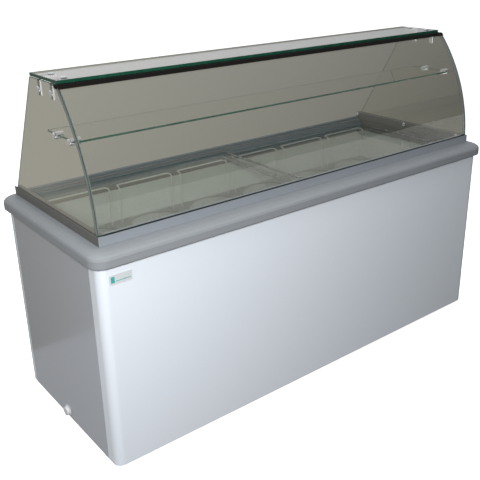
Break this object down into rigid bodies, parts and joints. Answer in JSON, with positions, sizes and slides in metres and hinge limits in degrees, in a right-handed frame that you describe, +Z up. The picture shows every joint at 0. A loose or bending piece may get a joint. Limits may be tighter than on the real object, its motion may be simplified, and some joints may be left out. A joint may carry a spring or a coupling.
{
  "type": "ice cream dipping cabinet",
  "caption": "Long chest freezer cabinet with a curved glass canopy, a glass shelf, sliding glass lids over wire tub racks and a moulded grey collar.",
  "frame": {"origin": "middle of the footprint at floor level", "axes": "+X along the cabinet to the left of a server who stands behind it, +Y from the customer's side to the server's side, +Z up"},
  "size_m": [1.796, 0.688, 1.191],
  "materials": {
    "white_enamel": "gloss",
    "grey_enamel": "gloss",
    "galvanised_sheet": "satin",
    "liner_sheet": "satin",
    "insulation": "matte",
    "copper_tube": "satin",
    "grey_plastic": "satin",
    "rail_aluminium": "satin",
    "rear_rail_metal": "polished",
    "canopy_glass": "polished",
    "lid_glass": "polished",
    "dark_profile": "satin",
    "black_rubber": "matte",
    "chrome_fittings": "polished",
    "lid_trim": "polished",
    "rack_wire": "satin",
    "compressor_black": "satin",
    "black_plastic": "satin",
    "motor_metal": "satin",
    "rocker_red": "gloss",
    "lamp_green": "gloss",
    "gauge_white": "gloss",
    "control_grey": "satin",
    "drain_plastic": "satin",
    "badge_silver": "satin"
  },
  "bodies": {
    "cabinet": {"badge_plate": "badge_silver", "base_pan": "galvanised_sheet", "breaker_strip": "grey_plastic", "canopy_brackets": "chrome_fittings", "canopy_caps": "chrome_fittings", "compressor": "compressor_black", "compressor_base": "galvanised_sheet", "compressor_mounts": "black_rubber", "compressor_terminal_box": "black_plastic", "condenser": "galvanised_sheet", "control_plate": "control_grey", "drain_tube": "drain_plastic", "evaporator_coil": "copper_tube", "fan_bracket": "galvanised_sheet", "fan_motor": "motor_metal", "fan_shroud": "galvanised_sheet", "feet": "black_rubber", "filter_drier": "copper_tube", "foam_insulation": "insulation", "front_glass": "canopy_glass", "front_glass_rail": "rail_aluminium", "front_glass_top_profile": "dark_profile", "front_lid_track": "grey_plastic", "front_panel": "white_enamel", "glass_gaskets": "black_rubber", "glass_shelf": "canopy_glass", "inner_liner": "liner_sheet", "left_glass_rail": "rail_aluminium", "left_side_glass": "canopy_glass", "left_side_panel": "grey_enamel", "left_tub_hangers": "rack_wire", "left_tub_plate": "rack_wire", "panel_screws": "chrome_fittings", "pilot_lamp": "lamp_green", "power_inlet": "black_plastic", "rail_screws": "chrome_fittings", "rear_grille": "control_grey", "rear_lid_track": "grey_plastic", "rear_panel": "white_enamel", "rear_rail": "rear_rail_metal", "refrigerant_lines": "copper_tube", "right_glass_rail": "rail_aluminium", "right_side_glass": "canopy_glass", "right_side_panel": "grey_enamel", "right_tub_hangers": "rack_wire", "right_tub_plate": "rack_wire", "shelf_clamps": "chrome_fittings", "switch_housing": "black_plastic", "thermometer": "gauge_white", "thermostat": "black_plastic", "top_collar": "grey_plastic", "top_glass": "canopy_glass"},
    "left_lid": {"left_lid_glass": "lid_glass", "left_lid_trims": "lid_trim"},
    "right_lid": {"right_lid_glass": "lid_glass", "right_lid_trims": "lid_trim"},
    "thermostat_dial": {"thermostat_knob": "black_plastic"},
    "power_switch": {"power_rocker": "rocker_red"},
    "condenser_fan": {"fan_blade": "black_plastic"},
    "drain_plug": {"drain_cap": "drain_plastic"}
  },
  "joints": [
    {"name": "left_lid_slide", "type": "slide", "parent": "cabinet", "child": "left_lid", "axis": [1, 0, 0], "range_m": [0, 0.8]},
    {"name": "right_lid_slide", "type": "slide", "parent": "cabinet", "child": "right_lid", "axis": [-1, 0, 0], "range_m": [0, 0.8]},
    {"name": "thermostat_turn", "type": "hinge", "parent": "cabinet", "child": "thermostat_dial", "pos_m": [0.64, 0.3294, 0.49], "axis": [0, -1, 0], "range_deg": [0, 270]},
    {"name": "power_rock", "type": "hinge", "parent": "cabinet", "child": "power_switch", "pos_m": [0.73, 0.322, 0.49], "axis": [1, 0, 0], "range_deg": [0, 20]},
    {"name": "fan_spin", "type": "hinge", "parent": "cabinet", "child": "condenser_fan", "pos_m": [0.712, 0.24, 0.15], "axis": [0, 1, 0], "continuous": true},
    {"name": "drain_cap_pull", "type": "slide", "parent": "cabinet", "child": "drain_plug", "axis": [-1, 0, 0], "range_m": [0, 0.03]}
  ]
}
